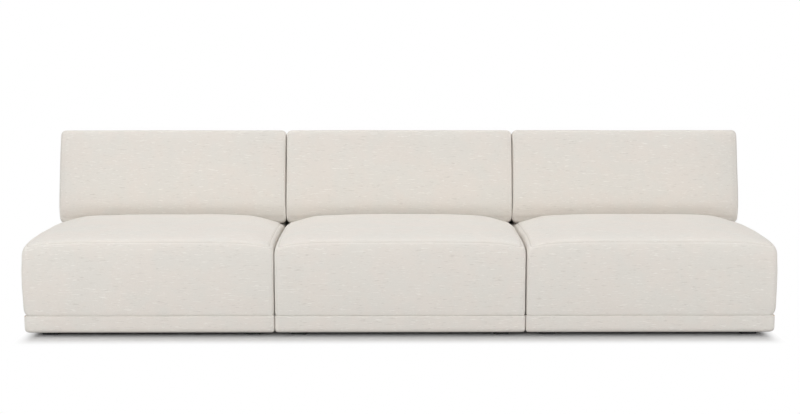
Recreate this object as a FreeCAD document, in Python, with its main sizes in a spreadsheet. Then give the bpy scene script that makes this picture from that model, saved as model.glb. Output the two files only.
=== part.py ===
"""Armless sofa of three equal modules.

Each module has a plinth on hidden feet, a sprung seat block, a padded back and a loose back cushion.
The sofa's length runs along X, its front faces -Y and it stands on the floor at Z = 0. All sizes are in mm.
One module is modelled round X = 0, and its pieces are then placed three times, one pitch apart.
"""
import FreeCAD, Part
import Sketcher
import math
import os
import re

DIMENSIONS = {
    # the module and its levels
    "module_pitch": 970,
    "module_gap": 1,
    "half_depth": 500,
    "foot_height": 19,
    "plinth_low": 18,
    "plinth_top": 84.5,
    "deck_height": 209.3,
    "shelf_height": 352,
    "shelf_front": 126,
    "joint_plane": 336,
    "cloth": 2,
    "ease": 0.3,
    # the plinth
    "plinth_side_recess": 2.5,
    "plinth_front_recess": 9,
    "plinth_wadding": 1.3,
    "plinth_board": 22,
    "cloth_return": 30,
    "corner_plate": 105,
    "corner_plate_thickness": 18,
    "dust_cloth": 1,
    "dust_cloth_margin": 3,
    # the feet and their screws
    "foot_size": 60,
    "foot_inset": 87.5,
    "foot_bore": 5.5,
    "foot_recess_bore": 12,
    "foot_recess": 6,
    "foot_screw": 5,
    "foot_screw_head": 10,
    "foot_screw_head_height": 3,
    "foot_screw_tip": 36,
    # the seat frame and its springs
    "seat_frame_half": 456,
    "seat_frame_front": -480,
    "padding_low": 94,
    "rail": 25,
    "rail_top": 202,
    "glue_block": 45,
    "glue_block_height": 90,
    "brace_height": 70,
    "spring_count": 5,
    "spring_spacing": 165,
    "spring_crossings": 23,
    "spring_wire": 3.6,
    "spring_half_line": 10,
    "clip_plate": 1.5,
    "clip_play": 0.3,
    "clip_half_width": 8,
    "clip_foot": 10,
    # the back frame and its webbing
    "back_lean": 13,
    "bend_height": 372,
    "back_frame_half": 464,
    "back_frame_front": 358,
    "back_frame_rear": 485,
    "back_frame_top": 630,
    "back_panel": 18,
    "back_rail": 22,
    "back_rail_height": 90,
    "joint_rail_low": 90,
    "joint_rail_top": 200,
    "window_half": 466,
    "window_top": 206,
    "webbing_width": 50,
    "webbing_thickness": 1.2,
    "webbing_count": 4,
    "webbing_spacing": 62,
    "webbing_margin": 4,
    "pad_ease": 1.5,
    # the screws that hold the back to the seat
    "back_screw": 8,
    "back_screw_head": 14,
    "back_screw_head_height": 5,
    "back_screw_tip": 316,
    "back_screw_spacing": 220,
    "back_screw_height": 145,
    # the loose cushion
    "cushion_gap": 1,
    "cushion_height": 370.2,
    "cushion_ease": 1,
    # the connectors between modules
    "connector_place": 330,
    "connector_width": 60,
    "connector_plate": 3,
    "socket_inner": 420,
    "socket_bend": 480,
    "socket_drop": 8,
    "socket_reach": 550,
    "tongue_inner": 495,
    "tongue_outer": 545,
    "tongue_place": 532,
    "tongue_width": 30,
    "tongue_tip": 4,
    "slot_width": 36,
    "slot_length": 7,
    "connector_screw": 4.5,
    "connector_screw_bore": 5,
    "connector_screw_head": 8,
    "connector_screw_head_height": 2.5,
    "connector_screw_tip": 40,
    "connector_screw_spacing": 44,
}

# Each level of a soft form: its height, how far its sides, its low edge and its high edge draw in,
# the radius of its corners, and how far its surface faces up, in degrees.
LEVEL_COLUMNS = ("height", "side", "low", "high", "corner", "tilt")
PLINTH_LEVELS = (
    (18, 12, 12, 12, 14, -90),
    (20.5, 6.5, 6.5, 6.5, 14, -55),
    (25, 2.5, 2.5, 2.5, 14, -35),
    (31, 0.5, 0.5, 0.5, 14, -15),
    (38, 0, 0, 0, 14, 0),
    (84.5, 0, 0, 0, 14, -45),
)
SEAT_LEVELS = (
    (85.5, 11, 9, 0, 22, 45),
    (92, 7, 5, 0, 24, 0),
    (100, 4.5, 3, 0, 25, 0),
    (112, 3, 2, 0, 25, 0),
    (140, 2, 1, 0, 25, 0),
    (190, 0.8, 0.3, 0, 25, 0),
    (250, 0, 0, 0, 25, 0),
    (325, 0, 0, 0, 25, 0),
    (345, 1, 1, 0, 28, 15),
    (357, 4.5, 4, 0, 36, 40),
    (367, 9.5, 7.5, 0, 48, 55),
    (374, 18, 13, 0, 58, 65),
    (380, 33, 24, 0, 70, 75),
    (386, 56, 44, 0, 90, 80),
    (392, 88, 78, 0, 105, 83),
    (397, 130, 120, 60, 115, 85),
    (401, 190, 180, 160, 115, 87),
    (404, 330, 250, 250, 90, 90),
)
BACK_LEVELS = (
    (86.5, 0, 0, 0, 16, 45),
    (372, 0, 0, 0, 16, 0),
    (637, 0, 61.2, 0, 16, 10),
    (646, 3, 66.5, 3, 16, 35),
    (652, 9, 73.5, 9, 18, 60),
    (655, 18, 82.5, 18, 20, 90),
)
CUSHION_LEVELS = (
    (0, 30, 24, 30, 18, -90),
    (4, 12, 10, 12, 20, -45),
    (14, 3, 3, 3, 20, -20),
    (30, 0, 0, 0, 20, 0),
    (150, 0, 0, 0, 20, 0),
    (173, 0, 3, 0, 20, 5),
    (188, 3, 12, 3, 22, 20),
    (198, 10, 26, 9, 28, 45),
    (205, 30, 44, 24, 44, 65),
    (211, 75, 78, 55, 70, 78),
    (216, 140, 120, 105, 70, 85),
    (218, 210, 155, 140, 42, 90),
)

doc = FreeCAD.newDocument("armless_sofa")
sheet = doc.addObject("Spreadsheet::Sheet", "Sheet")
aliases = []


def add_cell(name, value):
    """Write one driving dimension in the next row of the sheet."""
    row = len(aliases) + 1
    sheet.set(f"A{row}", name)
    sheet.set(f"B{row}", str(value))
    sheet.setAlias(f"B{row}", name)
    aliases.append(name)


def add_levels(form, levels):
    """Write the levels of a soft form in the sheet, one cell for each number."""
    for number, level in enumerate(levels, start=1):
        for column, value in zip(LEVEL_COLUMNS, level):
            add_cell(f"{form}_{column}_{number}", value)


for dimension, number in DIMENSIONS.items():
    add_cell(dimension, number)
add_levels("plinth", PLINTH_LEVELS)
add_levels("seat", SEAT_LEVELS)
add_levels("back", BACK_LEVELS)
add_levels("cushion", CUSHION_LEVELS)
doc.recompute()


def bound(text):
    """Turn the sheet's names in an expression into references to its cells."""
    return re.sub(r"[a-z][a-z_0-9]*", lambda m: f"Sheet.{m[0]}" if m[0] in aliases else m[0], text)


def value(name):
    """The present value of one cell of the sheet."""
    return float(sheet.get(name))


def bind(item, **expressions):
    """Bind properties of an object to the sheet. Two underscores stand for a dot."""
    for name, text in expressions.items():
        item.setExpression(name.replace("__", "."), bound(text))


def place(item, x="0", y="0", z="0"):
    """Bind the place of an object to the sheet."""
    bind(item, Placement__Base__x=x, Placement__Base__y=y, Placement__Base__z=z)
    return item


def board(name, low, high):
    """A box between two corners, each given as three expressions."""
    item = doc.addObject("Part::Box", name)
    for side, start, end in zip(("Length", "Width", "Height"), low, high):
        item.setExpression(side, bound(f"({end}) - ({start})"))
    return place(item, *low)


def rod(name, diameter, start, end, x, y):
    """An upright round rod between two heights."""
    item = doc.addObject("Part::Cylinder", name)
    bind(item, Radius=f"({diameter}) / 2", Height=f"({end}) - ({start})")
    return place(item, x, y, start)


def cut(name, base, tool):
    """What is left of one object when another is taken out of it."""
    item = doc.addObject("Part::Cut", name)
    item.Base = base
    item.Tool = tool
    return item


def common(name, base, tool):
    """The space that two objects share."""
    item = doc.addObject("Part::Common", name)
    item.Base = base
    item.Tool = tool
    return item


def fuse(name, items):
    """One solid from objects that meet."""
    item = doc.addObject("Part::MultiFuse", name)
    item.Shapes = items
    return item


def group(name, items):
    """Separate solids kept together as one piece."""
    item = doc.addObject("Part::Compound", name)
    item.Links = items
    return item


def polygon(name, points, plane_axis):
    """A closed sketch through points, each coordinate an expression, upright and square to X or Y."""
    item = doc.addObject("Sketcher::SketchObject", name)
    turn = {"X": (1, 1, 1, 120), "Y": (1, 0, 0, 90)}[plane_axis]
    item.Placement.Rotation = FreeCAD.Rotation(FreeCAD.Vector(*turn[:3]), turn[3])
    count = len(points)
    for number in range(count):
        angle = 2 * math.pi * number / count
        after = 2 * math.pi * (number + 1) / count
        start = FreeCAD.Vector(math.cos(angle), math.sin(angle), 0)
        end = FreeCAD.Vector(math.cos(after), math.sin(after), 0)
        item.addGeometry(Part.LineSegment(start, end))
    for number in range(count):
        item.addConstraint(Sketcher.Constraint("Coincident", number, 2, (number + 1) % count, 1))
    for number, (across, up) in enumerate(points):
        for kind, text, word in (("DistanceX", across, "across"), ("DistanceY", up, "up")):
            index = item.addConstraint(Sketcher.Constraint(kind, -1, 1, number, 1, 1.0))
            item.renameConstraint(index, f"{word}_{number}")
            item.setExpression(f"Constraints.{word}_{number}", bound(text))
    return item


def prism(name, points, axis, start, length):
    """A prism over a polygon, square to X or Y."""
    base = polygon(f"{name}_outline", points, axis)
    item = doc.addObject("Part::Extrusion", name)
    item.Base = base
    item.DirMode = "Custom"
    item.Dir = FreeCAD.Vector(1, 0, 0) if axis == "X" else FreeCAD.Vector(0, 1, 0)
    item.Solid = True
    bind(item, LengthFwd=length)
    if axis == "X":
        return place(item, x=start)
    return place(item, y=start)


def rounded_rectangle(name, height, half_width, low, high, radius):
    """A level rectangle with four equal round corners, centred on X. Every size is an expression."""
    item = doc.addObject("Sketcher::SketchObject", name)
    side = 10.0
    corner = 2.0
    inner = side - corner
    vector = FreeCAD.Vector
    item.addGeometry(
        [
            Part.LineSegment(vector(-inner, -side), vector(inner, -side)),
            Part.LineSegment(vector(side, -inner), vector(side, inner)),
            Part.LineSegment(vector(inner, side), vector(-inner, side)),
            Part.LineSegment(vector(-side, inner), vector(-side, -inner)),
        ]
    )
    for x, y, angle in ((inner, -inner, -90), (inner, inner, 0), (-inner, inner, 90), (-inner, -inner, 180)):
        circle = Part.Circle(vector(x, y), vector(0, 0, 1), corner)
        item.addGeometry(Part.ArcOfCircle(circle, math.radians(angle), math.radians(angle + 90)))
    ring = (0, 4, 1, 5, 2, 6, 3, 7)
    for first, second in zip(ring, ring[1:] + ring[:1]):
        item.addConstraint(Sketcher.Constraint("Tangent", first, 2, second, 1))
    for line, way in ((0, "Horizontal"), (1, "Vertical"), (2, "Horizontal"), (3, "Vertical")):
        item.addConstraint(Sketcher.Constraint(way, line))
    for arc in (5, 6, 7):
        item.addConstraint(Sketcher.Constraint("Equal", 4, arc))
    named = (
        ("corner", Sketcher.Constraint("Radius", 4, corner), radius),
        ("right", Sketcher.Constraint("DistanceX", -1, 1, 1, 1, side), half_width),
        ("left", Sketcher.Constraint("DistanceX", 3, 1, -1, 1, side), half_width),
        ("low", Sketcher.Constraint("DistanceY", -1, 1, 0, 1, -side), low),
        ("high", Sketcher.Constraint("DistanceY", -1, 1, 2, 1, side), high),
    )
    for word, constraint, text in named:
        index = item.addConstraint(constraint)
        item.renameConstraint(index, word)
        item.setExpression(f"Constraints.{word}", bound(text))
    return place(item, z=height)


def soft_form(name, form, count, half_width, low, high, depth="0"):
    """A stack of rounded rectangles joined by straight walls. A depth shrinks it by that much all over."""
    sections = []
    for number in range(1, count + 1):
        tilt = f"({form}_tilt_{number} * 1 deg)"
        inward = f"({depth}) * cos{tilt}"
        draw = {word: f"{form}_{word}_{number}" for word in LEVEL_COLUMNS}
        sections.append(
            rounded_rectangle(
                f"{name}_level_{number}",
                f"{draw['height']} - ({depth}) * sin{tilt}",
                f"{half_width} - {draw['side']} - {inward}",
                f"{low(number)} + {draw['low']} + {inward}",
                f"{high} - {draw['high']} - {inward}",
                f"{draw['corner']} - ({depth})",
            )
        )
    item = doc.addObject("Part::Loft", name)
    item.Sections = sections
    item.Solid = True
    item.Ruled = True
    return item


SEAT_HALF = "(module_pitch - module_gap) / 2"
CUSHION_HALF = "(module_pitch - cushion_gap) / 2"
PLINTH_HALF = "(module_pitch / 2 - plinth_side_recess)"
PLINTH_DEPTH = "(half_depth - plinth_front_recess)"
PADDING_DEPTH = "cloth + ease"
SIDES = (("left", -1), ("right", 1))
ENDS = (("front", -1), ("rear", 1))


def seat_form(name, depth="0"):
    """The seat block's form, from its tucked lower edge to its crown."""
    return soft_form(
        name, "seat", len(SEAT_LEVELS), SEAT_HALF, lambda number: "-half_depth", "joint_plane - ease", depth
    )


def back_form(name, depth="0"):
    """The padded back's form, with an upright rear and a raked front above the seat."""
    return soft_form(
        name, "back", len(BACK_LEVELS), SEAT_HALF, lambda number: "joint_plane + ease", "half_depth", depth
    )


def cushion_form(name, depth="0"):
    """The loose cushion's form, stacked through its thickness, its lower edge cut level when it leans."""
    item = soft_form(
        name,
        "cushion",
        len(CUSHION_LEVELS),
        CUSHION_HALF,
        lambda number: f"-cushion_height_{number} * tan(back_lean * 1 deg)",
        "cushion_height",
        depth,
    )
    return lean(item, "cushion_foot_y", "shelf_height + ease")


def lean(item, y, z):
    """Stand a form made flat on its back up at the angle of the back."""
    item.Placement.Rotation = FreeCAD.Rotation(FreeCAD.Vector(1, 0, 0), 90 - value("back_lean"))
    return place(item, y=y, z=z)


def plinth_form(name, depth):
    """The plinth's form, with a soft lower edge."""
    count = len(PLINTH_LEVELS)
    low = f"-{PLINTH_DEPTH}"
    return soft_form(name, "plinth", count, PLINTH_HALF, lambda number: low, PLINTH_DEPTH, depth)


def plinth_cover():
    """The cloth round the plinth, turned in under its rails."""
    shell = cut("plinth_shell", plinth_form("plinth_block", "0"), plinth_form("plinth_inside", "cloth"))
    x = f"({PLINTH_HALF} - cloth_return)"
    y = f"({PLINTH_DEPTH} - cloth_return)"
    opening = board("plinth_opening", (f"-{x}", f"-{y}", "plinth_low - cloth"), (x, y, "plinth_top"))
    return cut("plinth_band", shell, opening)


def plinth_frame():
    """Four rails on edge, their lower edges rounded, and a corner plate above each foot."""
    outer = f"{PLINTH_HALF} - cloth - plinth_wadding"
    depth = f"{PLINTH_DEPTH} - cloth - plinth_wadding"
    low = "plinth_low + cloth"
    items = []
    for word, way in ENDS:
        near, far = sorted_ends(way, f"{depth} - plinth_board", depth)
        items.append(
            board(f"plinth_{word}_rail", (f"-({outer})", near, low), (outer, far, "plinth_top"))
        )
    for word, way in SIDES:
        near, far = sorted_ends(way, f"{outer} - plinth_board", outer)
        end = f"{depth} - plinth_board"
        items.append(board(f"plinth_{word}_rail", (near, f"-({end})", low), (far, end, "plinth_top")))
        for row, turn in ENDS:
            edge = f"{outer} - plinth_board"
            x_low, x_high = sorted_ends(way, f"{edge} - corner_plate", edge)
            y_low, y_high = sorted_ends(turn, f"{end} - corner_plate", end)
            items.append(
                board(
                    f"corner_plate_{row}_{word}",
                    (x_low, y_low, low),
                    (x_high, y_high, f"{low} + corner_plate_thickness"),
                )
            )
    return common("plinth_shaped_rails", group("plinth_rails", items), plinth_form("plinth_core", "cloth"))


def sorted_ends(way, near, far):
    """The two ends of a span on the side that way points to, the lower one first."""
    if way > 0:
        return near, far
    return f"-({far})", f"-({near})"


def dust_cover():
    """A thin sheet that closes the plinth from below, inside the turned cloth."""
    x = f"{PLINTH_HALF} - cloth_return - dust_cloth_margin"
    y = f"{PLINTH_DEPTH} - cloth_return - dust_cloth_margin"
    return board("dust_sheet", (f"-({x})", f"-({y})", "foot_height"), (x, y, "foot_height + dust_cloth"))


def foot_places():
    """The names and centres of a module's four feet."""
    x = f"({PLINTH_HALF} - foot_inset)"
    y = f"({PLINTH_DEPTH} - foot_inset)"
    return [(f"{row}_{word}", f"{way} * {x}", f"{turn} * {y}") for word, way in SIDES for row, turn in ENDS]


def feet():
    """Four square blocks, each with a recessed screw hole."""
    items = []
    for name, x, y in foot_places():
        half = "foot_size / 2"
        low = (f"{x} - {half}", f"{y} - {half}", "0")
        high = (f"{x} + {half}", f"{y} + {half}", "foot_height")
        block = board(f"foot_{name}_block", low, high)
        recess = rod(f"foot_{name}_recess", "foot_recess_bore", "-1", "foot_recess", x, y)
        bore = rod(f"foot_{name}_bore", "foot_bore", "-1", "foot_height + 1", x, y)
        items.append(cut(f"foot_{name}", block, fuse(f"foot_{name}_hole", [recess, bore])))
    return group("foot_blocks", items)


def foot_screws():
    """One screw through each foot into the corner plate above it."""
    items = []
    for name, x, y in foot_places():
        shank = rod(f"foot_{name}_shank", "foot_screw", "foot_recess", "foot_screw_tip", x, y)
        head_low = "foot_recess - foot_screw_head_height"
        head = rod(f"foot_{name}_head", "foot_screw_head", head_low, "foot_recess", x, y)
        items.append(fuse(f"foot_{name}_screw", [shank, head]))
    return group("foot_screw_set", items)


def seat_frame():
    """Rails on edge round the seat, with a brace from front to rear and a glue block in each corner."""
    outer = "seat_frame_half"
    front = "seat_frame_front"
    rear = "joint_plane"
    low = "plinth_top"
    items = [
        board("seat_front_rail", (f"-{outer}", front, low), (outer, f"{front} + rail", "rail_top")),
        board("seat_rear_rail", (f"-{outer}", f"{rear} - rail", low), (outer, rear, "rail_top")),
        board(
            "seat_brace",
            ("-rail / 2", f"{front} + rail", low),
            ("rail / 2", f"{rear} - rail", f"{low} + brace_height"),
        ),
    ]
    for word, way in SIDES:
        near, far = sorted_ends(way, f"{outer} - rail", outer)
        items.append(
            board(
                f"seat_{word}_rail", (near, f"{front} + rail", low), (far, f"{rear} - rail", "rail_top")
            )
        )
        x_low, x_high = sorted_ends(way, f"{outer} - rail - glue_block", f"{outer} - rail")
        for row, y_low, y_high in (
            ("front", f"{front} + rail", f"{front} + rail + glue_block"),
            ("rear", f"{rear} - rail - glue_block", f"{rear} - rail"),
        ):
            top = f"{low} + glue_block_height"
            items.append(board(f"glue_block_{row}_{word}", (x_low, y_low, low), (x_high, y_high, top)))
    return group("seat_rails", items)


def spring_rows():
    """The middle of each spring across the seat."""
    count = int(value("spring_count"))
    middle = (count - 1) / 2
    return [(number + 1, (number - middle) * value("spring_spacing")) for number in range(count)]


def spring_ends():
    """How far forward and back the springs' end wires lie, along the middle of the rails."""
    front = value("seat_frame_front") + value("rail") / 2
    rear = value("joint_plane") - value("rail") / 2
    return front, rear


def spring_height():
    """The height of the springs' wire above the rails, which the clips set."""
    return value("rail_top") + value("clip_plate") + value("clip_play") + value("spring_wire") / 2


def zigzag(middle):
    """One flat zigzag of wire: straight crossings joined by half turns, each made of two quarter turns."""
    front, rear = spring_ends()
    height = spring_height()
    crossings = int(value("spring_crossings"))
    step = (rear - front) / (crossings - 1)
    radius = step / 2
    line = value("spring_half_line")
    vector = FreeCAD.Vector
    diagonal = radius * math.sqrt(0.5)
    edges = []
    for number in range(crossings):
        y = front + number * step
        way = 1 if number % 2 == 0 else -1
        start = vector(middle - way * line, y, height)
        end = vector(middle + way * line, y, height)
        edges.append(Part.LineSegment(start, end).toShape())
        if number < crossings - 1:
            tip = vector(end.x + way * radius, y + radius, height)
            after = vector(end.x, y + step, height)
            first = vector(end.x + way * diagonal, y + radius - diagonal, height)
            second = vector(end.x + way * diagonal, y + radius + diagonal, height)
            edges.append(Part.Arc(end, first, tip).toShape())
            edges.append(Part.Arc(tip, second, after).toShape())
    path = Part.Wire(edges)
    start = path.Vertexes[0].Point
    ring = Part.Wire([Part.makeCircle(value("spring_wire") / 2, start, vector(1, 0, 0))])
    solid = path.makePipeShell([ring], True, False)
    expected = path.Length * math.pi * value("spring_wire") ** 2 / 4
    if abs(solid.Volume - expected) > 0.02 * expected:
        raise ValueError("a spring's volume is not its section times its length")
    return solid


def seat_springs():
    """The zigzag springs that carry the seat's foam."""
    item = doc.addObject("Part::Feature", "spring_set")
    item.Shape = Part.makeCompound([zigzag(middle) for number, middle in spring_rows()])
    return item


def spring_clips():
    """A bent clip over each end of each spring, closed towards the middle of the seat."""
    items = []
    base_top = "rail_top + clip_plate"
    lip_low = f"{base_top} + 2 * clip_play + spring_wire"
    lip_top = f"{lip_low} + clip_plate"
    wire_side = "spring_wire / 2 + clip_play"
    ends = (
        ("front", 1, "(seat_frame_front + rail / 2)"),
        ("rear", -1, "(joint_plane - rail / 2)"),
    )
    for number, middle in spring_rows():
        left = f"{middle} - clip_half_width"
        right = f"{middle} + clip_half_width"
        for word, way, wire in ends:
            wall = (f"{wire} + {way} * ({wire_side})", f"{wire} + {way} * ({wire_side} + clip_plate)")
            foot = (f"{wire} - {way} * clip_foot", wall[1])
            lip = (f"{wire} - {way} * spring_wire", wall[1])
            name = f"clip_{word}_{number}"
            parts = []
            for piece, span, low, high in (
                ("foot", foot, "rail_top", base_top),
                ("wall", wall, "rail_top", lip_top),
                ("lip", lip, lip_low, lip_top),
            ):
                start, end = span if way > 0 else span[::-1]
                parts.append(board(f"{name}_{piece}", (left, start, low), (right, end, high)))
            items.append(fuse(name, parts))
    return group("clip_set", items)


def seat_shelf(name, depth):
    """The space over the shelf that the loose cushion stands on, with room for the cloth round it."""
    return board(
        name,
        ("-module_pitch", f"shelf_front - ({depth})", f"shelf_height - ({depth})"),
        ("module_pitch", "half_depth", "half_depth"),
    )


def seat_foam():
    """The seat's foam, with its crown and its shelf, on the springs."""
    form = cut("foam_form", seat_form("seat_core", PADDING_DEPTH), seat_shelf("foam_shelf", PADDING_DEPTH))
    above = board(
        "above_deck",
        ("-module_pitch", "-half_depth", "deck_height"),
        ("module_pitch", "half_depth", "half_depth"),
    )
    return common("foam_block", form, above)


def rail_padding():
    """Strips of padding on the outside of the seat's front and side rails."""
    core = seat_form("padding_core", PADDING_DEPTH)
    items = []
    strip = board(
        "front_strip_space",
        ("-module_pitch", "-half_depth", "padding_low"),
        ("module_pitch", "seat_frame_front", "deck_height"),
    )
    items.append(common("front_strip", core, strip))
    for word, way in SIDES:
        near, far = sorted_ends(way, "seat_frame_half", "module_pitch")
        strip = board(
            f"{word}_strip_space",
            (near, "seat_frame_front", "padding_low"),
            (far, "joint_plane", "deck_height"),
        )
        items.append(common(f"{word}_strip", core, strip))
    return group("padding_strips", items)


def seat_cover():
    """The seat's cloth: a skin with an open bottom, and a window where the frames are screwed together."""
    outer = cut("seat_skin_outer", seat_form("seat_outside"), seat_shelf("outer_shelf", "0"))
    inner = cut("seat_skin_inner", seat_form("seat_inside", "cloth"), seat_shelf("inner_shelf", "cloth"))
    window = board(
        "seat_window",
        ("-(seat_frame_half + cloth)", "joint_plane - 2 * cloth", "plinth_top"),
        ("seat_frame_half + cloth", "joint_plane + cloth", "window_top"),
    )
    return cut("seat_skin", cut("seat_shell", outer, inner), window)


RAKE = "tan(back_lean * 1 deg)"
FRAME_TOP_FRONT = f"back_frame_front + (back_frame_top - bend_height) * {RAKE}"


def back_frame():
    """Three upright panels with a raked front edge, rails between them, and the rail that meets the seat."""
    outline = [
        ("back_frame_front", "plinth_top"),
        ("back_frame_rear", "plinth_top"),
        ("back_frame_rear", "back_frame_top"),
        (FRAME_TOP_FRONT, "back_frame_top"),
        ("back_frame_front", "bend_height"),
    ]
    items = []
    for word, middle in (
        ("left", "-back_frame_half + back_panel / 2"),
        ("middle", "0"),
        ("right", "back_frame_half - back_panel / 2"),
    ):
        items.append(prism(f"back_{word}_panel", outline, "X", f"{middle} - back_panel / 2", "back_panel"))
    items.append(
        board(
            "back_joint_rail",
            ("-seat_frame_half", "joint_plane", "joint_rail_low"),
            ("seat_frame_half", "back_frame_front", "joint_rail_top"),
        )
    )
    for word, way in SIDES:
        near, far = sorted_ends(way, "back_panel / 2", "back_frame_half - back_panel")
        for name, y_low, y_high, z_low, z_high in (
            (
                "low_rail",
                "back_frame_rear - back_rail",
                "back_frame_rear",
                "plinth_top",
                "plinth_top + back_rail_height",
            ),
            (
                "high_rail",
                "back_frame_rear - back_rail",
                "back_frame_rear",
                "back_frame_top - back_rail_height",
                "back_frame_top",
            ),
            (
                "top_rail",
                FRAME_TOP_FRONT,
                "back_frame_rear - back_rail",
                "back_frame_top - back_rail",
                "back_frame_top",
            ),
            (
                "seat_level_rail",
                "back_frame_front",
                "back_frame_front + back_rail",
                "bend_height - back_rail_height",
                "bend_height",
            ),
        ):
            items.append(board(f"back_{word}_{name}", (near, y_low, z_low), (far, y_high, z_high)))
    return group("back_boards", items)


def back_webbing():
    """Straps across the raked front of the back's panels."""
    items = []
    for number in range(int(value("webbing_count"))):
        low = f"webbing_margin + {number} * webbing_spacing"
        items.append(
            board(
                f"strap_{number + 1}",
                ("-back_frame_half + webbing_margin", low, "0"),
                ("back_frame_half - webbing_margin", f"{low} + webbing_width", "webbing_thickness"),
            )
        )
    return lean(group("strap_set", items), "back_frame_front", "bend_height")


def back_padding():
    """Pads over the front, top, rear and sides of the back's frame."""
    core = back_form("back_core", PADDING_DEPTH)
    pad_rear = "back_frame_front - pad_ease"
    reach = "(half_depth - bend_height)"
    front_space = prism(
        "front_pad_space",
        [
            ("joint_plane", "deck_height"),
            (pad_rear, "deck_height"),
            (pad_rear, "bend_height"),
            (f"{pad_rear} + 3 * {reach} * {RAKE}", f"bend_height + 3 * {reach}"),
            ("joint_plane", f"bend_height + 3 * {reach}"),
        ],
        "X",
        "-back_frame_half",
        "2 * back_frame_half",
    )
    top_space = cut(
        "top_pad_space",
        board(
            "top_pad_block",
            ("-back_frame_half", "joint_plane", "back_frame_top + ease"),
            ("back_frame_half", "half_depth", "2 * half_depth"),
        ),
        front_space,
    )
    rear_space = board(
        "rear_pad_space",
        ("-back_frame_half", "back_frame_rear", "plinth_top + cloth"),
        ("back_frame_half", "half_depth", "back_frame_top + ease"),
    )
    items = [
        common("front_pad", core, front_space),
        common("top_pad", core, top_space),
        common("rear_pad", core, rear_space),
    ]
    for word, way in SIDES:
        near, far = sorted_ends(way, "back_frame_half", "module_pitch")
        space = board(
            f"{word}_pad_space",
            (near, "joint_plane", "plinth_top + cloth"),
            (far, "half_depth", "2 * half_depth"),
        )
        items.append(common(f"{word}_pad", core, space))
    return group("back_pads", items)


def back_cover():
    """The back's cloth: a skin with an open bottom, and a window where the frames are screwed together."""
    shell = cut("back_shell", back_form("back_outside"), back_form("back_inside", "cloth"))
    window = board(
        "back_window",
        ("-window_half", "joint_plane - cloth", "plinth_top"),
        ("window_half", "joint_plane + 2 * cloth", "window_top"),
    )
    return cut("back_skin", shell, window)


def back_screws():
    """Screws from inside the back, through its joint rail, into the seat's rear rail."""
    items = []
    for number, way in enumerate((-1.5, -0.5, 0.5, 1.5), start=1):
        parts = []
        for name, diameter, start, end in (
            ("shank", "back_screw", "back_screw_tip", "back_frame_front"),
            ("head", "back_screw_head", "back_frame_front", "back_frame_front + back_screw_head_height"),
        ):
            item = doc.addObject("Part::Cylinder", f"back_screw_{number}_{name}")
            item.Placement.Rotation = FreeCAD.Rotation(FreeCAD.Vector(1, 0, 0), -90)
            bind(item, Radius=f"{diameter} / 2", Height=f"{end} - ({start})")
            parts.append(place(item, f"{way} * back_screw_spacing", start, "back_screw_height"))
        items.append(fuse(f"back_screw_{number}", parts))
    return group("back_screw_set", items)


def socket_plate(name, way, y):
    """A joggled plate under the middle module's edge, with a slot under the next module."""
    top = "plinth_low"
    low = "plinth_low - connector_plate"
    run = "(socket_bend + socket_drop)"
    corners = [
        ("socket_inner", top),
        ("socket_bend", top),
        (run, f"{top} - socket_drop"),
        ("socket_reach", f"{top} - socket_drop"),
        ("socket_reach", f"{low} - socket_drop"),
        (run, f"{low} - socket_drop"),
        ("socket_bend", low),
        ("socket_inner", low),
    ]
    outline = [(f"{way} * {across}", up) for across, up in corners]
    plate = prism(f"{name}_strip", outline, "Y", f"{y} - connector_width / 2", "connector_width")
    slot_low, slot_high = sorted_ends(
        way, "tongue_place - slot_length / 2", "tongue_place + slot_length / 2"
    )
    slot = board(
        f"{name}_slot",
        (slot_low, f"{y} - slot_width / 2", "0"),
        (slot_high, f"{y} + slot_width / 2", "plinth_low"),
    )
    x = f"{way} * ({PLINTH_HALF} - cloth_return / 2)"
    return cut(name, plate, fuse(f"{name}_holes", [slot] + screw_bores(name, x, y)))


def tongue_plate(name, way, y):
    """A plate under an outer module's edge, with a tongue that drops into the slot."""
    low = "plinth_low - connector_plate"
    x_low, x_high = sorted_ends(way, "tongue_inner", "tongue_outer")
    t_low, t_high = sorted_ends(
        way, "tongue_place - connector_plate / 2", "tongue_place + connector_plate / 2"
    )
    plate = board(
        f"{name}_strip",
        (x_low, f"{y} - connector_width / 2", low),
        (x_high, f"{y} + connector_width / 2", "plinth_low"),
    )
    tongue = board(
        f"{name}_tongue",
        (t_low, f"{y} - tongue_width / 2", "tongue_tip"),
        (t_high, f"{y} + tongue_width / 2", low),
    )
    x = f"{way} * (module_pitch - ({PLINTH_HALF} - cloth_return / 2))"
    holes = fuse(f"{name}_holes", screw_bores(name, x, y))
    return cut(name, fuse(f"{name}_body", [plate, tongue]), holes)


def screw_bores(name, x, y):
    """The two screw holes in a connector plate."""
    return [
        rod(
            f"{name}_bore_{number}",
            "connector_screw_bore",
            "0",
            "plinth_low + 1",
            x,
            f"{y} + {way} * connector_screw_spacing / 2",
        )
        for number, way in ((1, -1), (2, 1))
    ]


def plate_screws(name, x, y):
    """Two screws through a connector plate into the plinth's side rail."""
    items = []
    bearing = "plinth_low - connector_plate"
    for number, way in ((1, -1), (2, 1)):
        along = f"{y} + {way} * connector_screw_spacing / 2"
        shank = rod(f"{name}_shank_{number}", "connector_screw", bearing, "connector_screw_tip", x, along)
        head = rod(
            f"{name}_head_{number}",
            "connector_screw_head",
            f"{bearing} - connector_screw_head_height",
            bearing,
            x,
            along,
        )
        items.append(fuse(f"{name}_screw_{number}", [shank, head]))
    return items


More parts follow.
